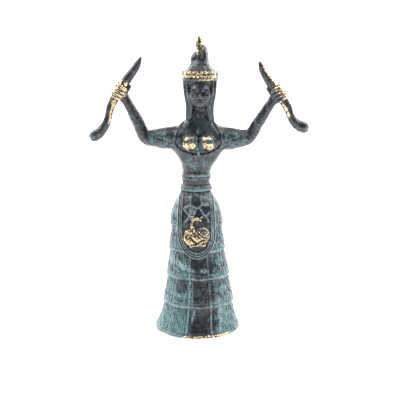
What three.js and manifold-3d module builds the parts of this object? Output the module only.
// A small cast bronze statuette: a goddess in a flounced skirt who raises a snake in each hand.
// Millimetres, +Z up, the figure faces -Y. The origin is the middle of the flat underside.
import * as THREE from "three";
import { mergeVertices } from "three/addons/utils/BufferGeometryUtils.js";
import Module from "manifold-3d";

const wasm = await Module();
wasm.setup();

// Skirt: five flounces, each a bell whose hem stands proud of the one below, listed from the floor up.
const HEM_Z = [0, 14.5, 28.6, 42.2, 55];
const HEM_R = [22.5, 18.8, 16.7, 14.9, 13.8];
const HEM_STEP = 0.8;
const HEM_ROLL = 1;
const HEM_UNDERCUT = 0.4;
const BOTTOM_FLARE = 1.75;
const FLOUNCE_FLARE = 1.2;
const HIP_ROUND = 2;
const WAIST_Z = 71.5;
const WAIST_R = 8;
const PANELS = 10;
const FIRST_PANEL_DEG = -20;
const GROOVE_DEG = 2.2;
const PANEL_EDGE_DEG = 4.6;
const RIB_HEIGHT = 0.2;
const GROOVE_DEPTH = 0.45;
const PANEL_CROWN = 0.25;

// Plan of the skirt: round at the hem, a little flatter front to back at the hips.
const HIP_FLATNESS = 0.1;
const HIP_Z = 60;

// Apron: a rounded panel with a raised rim, hung from the belt over the two upper flounces.
const APRON_TOP_Z = 71;
const APRON_BOTTOM_Z = 40.2;
const APRON_HALF_W = 10.1;
const APRON_TOP_HALF_W = 8.4;
const APRON_ROUND_Z = 53;
const APRON_PROUD = 0.9;
const APRON_RIM = 1.3;
const APRON_RIM_HEIGHT = 0.45;

// The figure sways: its middle leaves the Z axis by these offsets in X, at these heights.
const SWAY = [
  [0, -0.45],
  [14, 0.2],
  [28, 0],
  [42, -0.4],
  [55, -0.8],
  [76, -1],
  [83, -0.7],
  [87, 0.1],
  [106, 0.1],
  [113, 0.9],
  [150, 1.1],
];

// Trunk, from inside the skirt to the shoulders: [height, half width, half depth, middle in Y].
// The two rolls between 72 and 82 are the girdle.
const TRUNK = [
  [69, 6, 5.4, 0],
  [71.6, 7.1, 6.4, 0],
  [73, 8.3, 7.4, 0],
  [75, 8.2, 7.3, 0],
  [76, 7.2, 6.2, 0],
  [77.6, 7.1, 6.1, 0],
  [78.8, 7.8, 7, 0],
  [81.2, 7.9, 7.1, 0],
  [82.4, 7.2, 6.1, 0],
  [86, 8.3, 6.6, 0],
  [90.5, 10.9, 7.1, -0.2],
  [94, 14, 7.3, -0.3],
  [99.5, 14, 6.9, -0.2],
  [103, 12.2, 5.9, 0],
  [106, 9.9, 5, 0.2],
  [109, 7.2, 4.5, 0.2],
  [114, 4.5, 4.2, 0],
];

// Breasts, and the piped edge of the open bodice that runs round them from the neck.
const BREAST = { x: 4.5, y: -6.3, z: 97.7, r: [4.1, 4.3, 4.2] };
const PIPING_R = 0.6;
const OPENING_HALF_W = 11.1;
const OPENING_BOTTOM_Z = 91.5;
const OPENING_WIDE_Z = 98.5;
const OPENING_TOP_Z = 106;
const OPENING_TOP_HALF_W = 8.4;

// Hair and head: [height, half width, half depth, middle in Y]. The brim under the headdress is at 130.
const HAIR = [
  [97, 5.6, 2.4, 4.2],
  [105.3, 6.3, 4, 2.6],
  [111, 6.7, 4.5, 2.3],
  [118, 7, 5.9, 1.6],
  [125, 8.1, 7.4, 0.5],
  [130, 9, 8.1, 0],
];
const CAP = [
  [129.4, 9.4, 8.5, 0],
  [131.8, 9.2, 8.3, 0],
  [134, 6.7, 6.2, 0],
  [136, 5.1, 4.8, 0.2],
  [138, 4.3, 4, 0.3],
];
const FACE = { x: 1, y: -2.4, z: 122.6, r: [6.4, 6.5, 8] };
const CHIN = { x: 1, y: -5.2, z: 117.4, r: [3, 3.1, 2.3] };
const NOSE = { x: 1, y: -8.5, top: 124.8, tip: 121, r: 0.75 };
const BROW = { x: 1, y: -7.2, z: 125.6, r: [4.3, 1.5, 0.7] };
const EYE = { gap: 2.4, y: -8, z: 124, r: [1.3, 0.75, 0.65] };
const LIPS = { x: 1, y: -8, z: 119, r: [1.7, 0.8, 0.7] };

// Headdress: a beaded band round the brim, and a small seated animal as its finial.
const BEADS = 14;
const BEAD_R = 1.25;
const BEAD_RING = { half_w: 8.7, half_d: 8.2, z: 131.4 };
const BROW_CORD_R = 0.55;
const FINIAL = {
  haunch: { x: 0.7, y: 0.9, z: 139.2, r: [4.2, 3.9, 3.9] },
  chest: { x: 2, y: -0.5, z: 141.6, r: [3.2, 2.9, 4.1] },
  head: { x: 0.7, y: -1.1, z: 147, r: [2.5, 2.5, 3.1] },
  ear: { x: 1.4, y: -0.8, z: 149.3, r: 0.8 },
};

// Back hair: locks that fall from the brim to below the shoulder blades.
const LOCKS = 5;
const LOCK_R = 1.5;
const LOCK_PITCH = 2.5;

// Arms, for the figure's two sides: side -1 is the viewer's left.
// Each joint is [x away from the middle, y, z, radius].
const ARM = {
  "-1": {
    shoulder: [9, 0.2, 99.9, 6.2],
    deltoid: [16.6, 0.1, 99.3, 5.3],
    sleeve: [24, 0, 99.3, 3.7],
    elbow: [27, -0.2, 100.2, 3.4],
    forearm: [30, -1, 106.9, 3.2],
    wrist: [35.6, -2, 118, 2.4],
    hand: [38.3, -2.2, 122.2],
  },
  1: {
    shoulder: [9, 0.2, 99.6, 6.2],
    deltoid: [16.4, 0.1, 99, 5.3],
    sleeve: [23.8, 0, 99.4, 3.7],
    elbow: [26.6, -0.2, 100.7, 3.3],
    forearm: [30.2, -1, 107, 3],
    wrist: [36.6, -2, 117, 2.4],
    hand: [39.4, -2.2, 121.2],
  },
};
const CUFF_PROUD = 0.5;
const PALM_R = 2.9;

// Snakes: [x away from the middle, y, z, radius] from the tail tip, through the fist, to the head.
const SNAKE = {
  "-1": [
    [28.4, -3.6, 139.2, 0.9],
    [29.9, -3.8, 136.2, 1.7],
    [32.5, -4, 132.2, 2.1],
    [35.6, -4.2, 128.2, 2.4],
    [38.7, -4.4, 124, 2.5],
    [41.6, -4.4, 119.7, 2.4],
    [43.4, -4.3, 115.6, 2.2],
    [44.5, -4.2, 111.6, 2],
    [45.4, -4.1, 108.2, 2.1],
    [47.2, -4, 105, 2.4],
    [49.6, -3.9, 102.3, 2.7],
    [52, -3.9, 100.8, 2.85],
  ],
  1: [
    [30.6, -3.6, 137, 0.9],
    [31.8, -3.8, 134, 1.8],
    [33.9, -4, 130.3, 2.2],
    [36.5, -4.2, 126.7, 2.4],
    [39.5, -4.4, 123, 2.5],
    [42, -4.4, 119.4, 2.4],
    [44.3, -4.3, 115.7, 2.2],
    [45.8, -4.2, 112.5, 2],
    [47, -4.1, 109.7, 2.1],
    [49, -4, 107.2, 2.5],
    [51.4, -3.9, 105.6, 2.8],
    [53, -3.9, 105.1, 2.85],
  ],
};

// Hands: four fingers that close over the front of the snake, and a thumb laid along it.
const FIST_R = [2.9, 2.8, 4];
const FINGERS = 4;
const FINGER_R = 1.05;
const FINGER_PITCH = 1.9;
const FINGER_REACH = 3.3;
const THUMB_R = 1;
const THUMB_LENGTH = 5.4;

// Waterbird on the apron, in [x, z] on the panel, with thickness standing out of it.
const BIRD = {
  body: { x: -2.2, z: 50.6, r: [4.6, 3.3], tilt: -18 },
  wing: { x: -0.6, z: 51.8, r: [3.4, 2], tilt: 28 },
  tail: { x: 2.6, z: 48.9, r: [2.6, 1.4], tilt: -35 },
  neck: [
    [-3.6, 53],
    [-4, 55.3],
    [-2.9, 57.4],
    [-1.2, 58.7],
  ],
  neck_r: 0.95,
  head_r: 1.25,
  thick: 1.1,
};

const RING_SIDES = 16;
const LIMB_SIDES = 8;
const SNAKE_SIDES = 6;
const FINE_SIDES = 4;
const BALL_SIDES = 8;
const END_REACH = 0.75;

const smooth = (t) => {
  const c = THREE.MathUtils.clamp(t, 0, 1);
  return c * c * (3 - 2 * c);
};

function sway(z) {
  const next = SWAY.findIndex(([height]) => height >= z);
  if (next <= 0) return SWAY[next === 0 ? 0 : SWAY.length - 1][1];
  const [[z0, x0], [z1, x1]] = [SWAY[next - 1], SWAY[next]];
  return x0 + (x1 - x0) * smooth((z - z0) / (z1 - z0));
}

const flatness = (z) => 1 - HIP_FLATNESS * smooth(z / HIP_Z);

// A closed surface through rings of points, which run anticlockwise seen from the last ring.
function loft(rings) {
  const sides = rings[0].length;
  const positions = rings.flat().flatMap((p) => [p.x, p.y, p.z]);
  const faces = [];
  rings.slice(1).forEach((_, row) => {
    for (let i = 0; i < sides; i++) {
      const j = (i + 1) % sides;
      const [a, b] = [row * sides + i, row * sides + j];
      const [c, d] = [b + sides, a + sides];
      faces.push(a, b, c, a, c, d);
    }
  });
  const cap = (ring, start, flip) => {
    const middle = ring.reduce((sum, p) => sum.add(p), new THREE.Vector3()).divideScalar(sides);
    const centre = positions.length / 3;
    positions.push(middle.x, middle.y, middle.z);
    for (let i = 0; i < sides; i++) {
      const j = (i + 1) % sides;
      faces.push(centre, start + (flip ? j : i), start + (flip ? i : j));
    }
  };
  cap(rings[0], 0, true);
  cap(rings.at(-1), (rings.length - 1) * sides, false);
  const geometry = new THREE.BufferGeometry();
  geometry.setAttribute("position", new THREE.Float32BufferAttribute(positions, 3));
  geometry.setIndex(faces);
  return geometry;
}

function solid(geometry) {
  const bare = geometry.clone();
  bare.deleteAttribute("normal");
  bare.deleteAttribute("uv");
  const merged = mergeVertices(bare, 1e-4);
  return new wasm.Manifold(
    new wasm.Mesh({
      numProp: 3,
      vertProperties: new Float32Array(merged.attributes.position.array),
      triVerts: new Uint32Array(merged.index.array),
    }),
  );
}

// An upright loft of ellipses from rows of [height, half width, half depth, middle in Y].
function stack(rows, sides = RING_SIDES) {
  return loft(
    rows.map(([z, halfW, halfD, y]) =>
      Array.from({ length: sides }, (_, i) => {
        const turn = (i / sides) * 2 * Math.PI;
        return new THREE.Vector3(sway(z) + halfW * Math.cos(turn), y + halfD * Math.sin(turn), z);
      }),
    ),
  );
}

// A round limb along a curve through [x, y, z, radius], with a half-round end where asked.
function limb(joints, { sides = LIMB_SIDES, steps = 3 * joints.length, roundEnd = true } = {}) {
  const curve = new THREE.CatmullRomCurve3(joints.map(([x, y, z]) => new THREE.Vector3(x, y, z)));
  const frames = curve.computeFrenetFrames(steps, false);
  const radiusAt = (t) => {
    const place = curve.getUtoTmapping(t) * (joints.length - 1);
    const i = Math.min(Math.floor(place), joints.length - 2);
    return THREE.MathUtils.lerp(joints[i][3], joints[i + 1][3], smooth(place - i));
  };
  const ring = (centre, k, radius) =>
    Array.from({ length: sides }, (_, i) => {
      const turn = (i / sides) * 2 * Math.PI;
      return centre
        .clone()
        .addScaledVector(frames.normals[k], radius * Math.cos(turn))
        .addScaledVector(frames.binormals[k], radius * Math.sin(turn));
    });
  const endRing = (k, sign) => {
    const r = radiusAt(k / steps);
    const centre = curve.getPointAt(k / steps).addScaledVector(frames.tangents[k], sign * END_REACH * r);
    return ring(centre, k, r * Math.sqrt(1 - END_REACH ** 2));
  };
  const along = Array.from({ length: steps + 1 }, (_, k) =>
    ring(curve.getPointAt(k / steps), k, radiusAt(k / steps)),
  );
  return loft(roundEnd ? [endRing(0, -1), ...along, endRing(steps, 1)] : along);
}

function ball({ x, y, z, r }, { sides = BALL_SIDES, turnY = 0 } = {}) {
  const radii = Array.isArray(r) ? r : [r, r, r];
  return new THREE.SphereGeometry(1, sides, Math.max(4, sides / 2))
    .scale(...radii)
    .rotateY(turnY)
    .translate(x, y, z);
}

// Radius of a flounce between its hem and the underside of the next hem up, without its panels.
function flounceRadius(tier, t) {
  const hem = HEM_R[tier];
  if (tier === HEM_R.length - 1) return WAIST_R + (hem - WAIST_R) * (1 - t ** HIP_ROUND);
  const top = HEM_R[tier + 1] - HEM_STEP;
  return top + (hem - top) * (1 - t) ** (tier === 0 ? BOTTOM_FLARE : FLOUNCE_FLARE);
}

// One panel's corners, from the rib at its left edge on: [degrees from the rib, height].
const PANEL_CORNERS = [
  [0, RIB_HEIGHT],
  [GROOVE_DEG, -GROOVE_DEPTH],
  [PANEL_EDGE_DEG, 0],
  [180 / PANELS, PANEL_CROWN],
  [360 / PANELS - PANEL_EDGE_DEG, 0],
  [360 / PANELS - GROOVE_DEG, -GROOVE_DEPTH],
];

function skirtRing(z, radius, relief) {
  const points = [];
  for (let panel = 0; panel < PANELS; panel++) {
    for (const [degrees, height] of PANEL_CORNERS) {
      const turn = THREE.MathUtils.degToRad(FIRST_PANEL_DEG + (360 / PANELS) * panel + degrees);
      const r = radius + relief * height;
      points.push(new THREE.Vector3(sway(z) + r * Math.sin(turn), -r * Math.cos(turn) * flatness(z), z));
    }
  }
  return points;
}

function skirt() {
  const rings = [];
  HEM_Z.forEach((low, tier) => {
    const high = HEM_Z[tier + 1] - HEM_UNDERCUT || WAIST_Z;
    const at = (z) => flounceRadius(tier, (z - low) / (high - low));
    rings.push(skirtRing(low, at(low), 0.2));
    rings.push(skirtRing(low + HEM_ROLL, at(low + 0.5 * HEM_ROLL), 0.9));
    const curved = tier === 0 || tier === HEM_Z.length - 1;
    if (curved) rings.push(skirtRing((low + high) / 2, at((low + high) / 2), 1));
    rings.push(skirtRing(high, at(high), tier === HEM_Z.length - 1 ? 0 : 0.6));
  });
  return loft(rings);
}

// Outer radius of the apron's cloth at a height: it spans the hems and follows the hips.
function apronRadius(z) {
  const hips = HEM_Z.at(-1);
  if (z > hips) return flounceRadius(HEM_Z.length - 1, (z - hips) / (WAIST_Z - hips)) + APRON_PROUD;
  const t = (z - HEM_Z[3]) / (hips - HEM_Z[3]);
  return THREE.MathUtils.lerp(HEM_R[3], HEM_R[4], t) + APRON_PROUD;
}

function apronHalfWidth(z) {
  if (z > APRON_ROUND_Z) {
    const t = (z - APRON_ROUND_Z) / (APRON_TOP_Z - APRON_ROUND_Z);
    return THREE.MathUtils.lerp(APRON_HALF_W, APRON_TOP_HALF_W, t * t);
  }
  const t = (APRON_ROUND_Z - z) / (APRON_ROUND_Z - APRON_BOTTOM_Z);
  return APRON_HALF_W * Math.sqrt(Math.max(0, 1 - t * t));
}

// A point at x across the apron and height z, standing out of its field by some height.
function onApron(x, z, out = 0) {
  const r = apronRadius(z) + out;
  const across = Math.min(Math.abs(x), 0.98 * r) * Math.sign(x);
  return new THREE.Vector3(sway(z) + across, -Math.sqrt(r * r - across * across) * flatness(z), z);
}

// Height of the apron's relief a given way in from its edge: a rim, a groove, then the field.
function rimHeight(inward) {
  if (inward < 0.5 * APRON_RIM) return APRON_RIM_HEIGHT * smooth(inward / (0.25 * APRON_RIM));
  if (inward < APRON_RIM) return APRON_RIM_HEIGHT;
  return -0.2;
}

function apron() {
  const lift = 0.05;
  const insets = [0, 0.3 * APRON_RIM, APRON_RIM, 1.45 * APRON_RIM];
  const heights = [];
  for (let i = 0; i <= 12; i++) {
    const t = i / 12;
    heights.push(THREE.MathUtils.lerp(APRON_BOTTOM_Z + lift, APRON_TOP_Z, 1 - Math.cos((t * Math.PI) / 2)));
  }
  const rings = heights.map((z) => {
    const half = apronHalfWidth(z);
    const toBottom = z - APRON_BOTTOM_Z;
    const xs = [...insets.map((d) => -half + Math.min(d, half * 0.9)), 0];
    const front = [...xs, ...xs.slice(0, -1).reverse().map((x) => -x)].map((x) => {
      const inward = Math.min(half - Math.abs(x), toBottom);
      return onApron(x, z, rimHeight(inward));
    });
    const back = [half, 0, -half].map((x) => onApron(x, z, -3));
    return [...front, ...back];
  });
  return loft(rings);
}

// A flattened ellipsoid lying on the apron, turned by some degrees in its plane.
function blobOnApron({ x, z, r, tilt }) {
  const place = onApron(x, z);
  return ball({ x: 0, y: 0, z: 0, r: [r[0], BIRD.thick, r[1]] }, { turnY: THREE.MathUtils.degToRad(-tilt) })
    .rotateZ(Math.asin((x / apronRadius(z)) * 0.9))
    .translate(place.x, place.y, place.z);
}

function bird() {
  const neck = BIRD.neck.map(([x, z]) => [...onApron(x, z, 0.2).toArray(), BIRD.neck_r]);
  const [headX, headZ] = BIRD.neck.at(-1);
  const head = onApron(headX + 0.4, headZ, 0.2);
  return [
    blobOnApron(BIRD.body),
    blobOnApron(BIRD.wing),
    blobOnApron(BIRD.tail),
    limb(neck, { sides: FINE_SIDES, steps: 6 }),
    ball({ ...head, r: [1.3 * BIRD.head_r, BIRD.head_r, 0.8 * BIRD.head_r] }, { sides: 8 }),
  ];
}

// Front of the trunk at a place across it and a height, read from the same rows as its loft.
function trunkFront(x, z) {
  const next = Math.max(1, TRUNK.findIndex(([height]) => height >= z));
  const [low, high] = [TRUNK[next - 1], TRUNK[next]];
  const t = (z - low[0]) / (high[0] - low[0]);
  const [halfW, halfD, y] = [1, 2, 3].map((k) => THREE.MathUtils.lerp(low[k], high[k], t));
  const across = Math.min(0.97, Math.abs(x) / halfW);
  return y - halfD * Math.sqrt(1 - across * across);
}

function piping() {
  const half = [];
  for (let i = 0; i <= 5; i++) {
    const turn = (i / 5) * (Math.PI / 2);
    half.push([
      OPENING_HALF_W * Math.sin(turn),
      OPENING_WIDE_Z - (OPENING_WIDE_Z - OPENING_BOTTOM_Z) * Math.cos(turn),
    ]);
  }
  half.push([(OPENING_HALF_W + OPENING_TOP_HALF_W) / 2 + 0.5, (OPENING_WIDE_Z + OPENING_TOP_Z) / 2]);
  half.push([OPENING_TOP_HALF_W, OPENING_TOP_Z]);
  const across = [...half.slice(1).reverse().map(([x, z]) => [-x, z]), ...half];
  const route = across.map(([x, z]) => [sway(z) + x, trunkFront(x, Math.min(z, 106)), z, PIPING_R]);
  route[0][1] = route.at(-1)[1] = 0;
  return limb(route, { sides: FINE_SIDES, steps: 18 });
}

function face() {
  const eyes = [-1, 1].map((side) => ball({ ...EYE, x: FACE.x + side * EYE.gap }, { sides: 8 }));
  const nose = limb(
    [
      [NOSE.x, NOSE.y + 0.5, NOSE.top, 0.7 * NOSE.r],
      [NOSE.x, NOSE.y, (NOSE.top + NOSE.tip) / 2, 0.9 * NOSE.r],
      [NOSE.x, NOSE.y - 0.5, NOSE.tip, 1.3 * NOSE.r],
    ],
    { sides: FINE_SIDES, steps: 3 },
  );
  return [ball(FACE, { sides: 14 }), ball(CHIN), ball(BROW), ball(LIPS, { sides: 8 }), nose, ...eyes];
}

function headdress() {
  const beads = Array.from({ length: BEADS }, (_, i) => {
    const turn = ((i + 0.5) / BEADS) * 2 * Math.PI;
    return new THREE.IcosahedronGeometry(BEAD_R, 0).translate(
      sway(BEAD_RING.z) + BEAD_RING.half_w * Math.sin(turn),
      -BEAD_RING.half_d * Math.cos(turn),
      BEAD_RING.z,
    );
  });
  const cord = new THREE.TorusGeometry(1, BROW_CORD_R / BEAD_RING.half_w, 3, 16)
    .scale(BEAD_RING.half_w, BEAD_RING.half_d, BEAD_RING.half_w)
    .translate(sway(BEAD_RING.z), 0, HAIR.at(-1)[0] - 0.4);
  const { haunch, chest, head, ear } = FINIAL;
  const ears = [-1, 1].map((side) => ball({ ...ear, x: head.x + side * ear.x }, { sides: 6 }));
  return [stack(CAP), ...beads, cord, ball(haunch), ball(chest), ball(head), ...ears];
}

function backHair() {
  return Array.from({ length: LOCKS }, (_, i) => {
    const place = i - (LOCKS - 1) / 2;
    const x = place * LOCK_PITCH;
    const tuck = 0.5 * Math.abs(place);
    return limb(
      [
        [sway(127) + 1.2 * x, 6.2 - tuck, 127.5, LOCK_R],
        [sway(120) + x, 6.3 - tuck, 120, LOCK_R],
        [sway(112) + x, 5.5 - tuck, 112, LOCK_R],
        [sway(104) + x, 5.9 - 0.5 * tuck, 103, LOCK_R],
        [sway(96) + 0.8 * x, 6.9 - 0.5 * tuck, 94.5 + tuck, 0.6 * LOCK_R],
      ],
      { sides: FINE_SIDES, steps: 5 },
    );
  });
}

function hand(side, snake) {
  const [handX, handY, handZ] = ARM[side].hand;
  const centre = new THREE.Vector3(side * handX, handY, handZ);
  const [before, after] = [snake[3], snake[5]];
  const along = new THREE.Vector3(side * (after[0] - before[0]), 0, after[2] - before[2]).normalize();
  const out = new THREE.Vector3(-side * along.z, 0, side * along.x);
  const fist = ball({ x: 0, y: 0, z: 0, r: FIST_R }, { turnY: Math.atan2(along.x, along.z) });
  fist.translate(centre.x, centre.y, centre.z);
  const front = centre.y - FIST_R[1] - 1.6;
  const fingers = Array.from({ length: FINGERS }, (_, i) => {
    const slide = (i - (FINGERS - 1) / 2) * FINGER_PITCH;
    const root = centre.clone().addScaledVector(along, slide);
    const bend = [
      [FINGER_REACH, centre.y + 0.6],
      [FINGER_REACH + 0.3, centre.y - 2],
      [0.45 * FINGER_REACH, front + 0.3],
      [-0.4 * FINGER_REACH, front + 0.9],
    ];
    const route = bend.map(([reach, y]) => {
      const p = root.clone().addScaledVector(out, reach);
      return [p.x, y, p.z, FINGER_R];
    });
    return limb(route, { sides: FINE_SIDES, steps: 4 });
  });
  const thumbRoot = centre.clone().addScaledVector(out, -1.9);
  const thumb = [0, 0.55, 1].map((t) => {
    const p = thumbRoot.clone().addScaledVector(along, -t * THUMB_LENGTH);
    return [p.x, front + 1.7, p.z, THUMB_R * (1 - 0.3 * t)];
  });
  return [fist, ...fingers, limb(thumb, { sides: FINE_SIDES, steps: 3 })];
}

function arm(side) {
  const mirrored = (joint, grow = 0) => [side * joint[0], joint[1], joint[2], (joint[3] ?? 0) + grow];
  const { shoulder, deltoid, sleeve, elbow, forearm, wrist, hand: palm } = ARM[side];
  const joints = [deltoid, sleeve, elbow, forearm, wrist, [...palm, PALM_R]];
  const bare = limb(joints.map((j) => mirrored(j)), { steps: 10 });
  const sleeved = limb([shoulder, deltoid, sleeve].map((j) => mirrored(j, 0.25 * CUFF_PROUD)), {
    steps: 4,
    roundEnd: false,
  });
  const cuff = new THREE.TorusGeometry(sleeve[3], CUFF_PROUD, 4, 10)
    .rotateY(Math.PI / 2)
    .translate(...mirrored(sleeve).slice(0, 3));
  const snake = SNAKE[side];
  const body = limb(snake.map((j) => mirrored(j)), { steps: 18, sides: SNAKE_SIDES });
  return [bare, sleeved, cuff, body, ...hand(side, snake)];
}

function statuette() {
  const breasts = [-1, 1].map((side) => ball({ ...BREAST, x: side * BREAST.x + 0.4 }, { sides: 12 }));
  const pieces = [
    skirt(),
    apron(),
    ...bird(),
    stack(TRUNK),
    ...breasts,
    piping(),
    stack(HAIR),
    ...face(),
    ...headdress(),
    ...backHair(),
    ...arm(-1),
    ...arm(1),
  ];
  return pieces.map(solid).reduce((whole, piece) => whole.add(piece));
}

function geometryOf(body) {
  const mesh = body.getMesh();
  const geometry = new THREE.BufferGeometry();
  geometry.setAttribute("position", new THREE.BufferAttribute(new Float32Array(mesh.vertProperties), 3));
  geometry.setIndex(new THREE.BufferAttribute(new Uint32Array(mesh.triVerts), 1));
  geometry.computeVertexNormals();
  return geometry;
}

const patinatedBronze = new THREE.MeshStandardMaterial({ color: 0x3a4a50, metalness: 0.8, roughness: 0.45 });
const figure = new THREE.Mesh(geometryOf(statuette()), patinatedBronze);
figure.name = "goddess_statuette";

const group = new THREE.Group();
group.add(figure);
export default group;
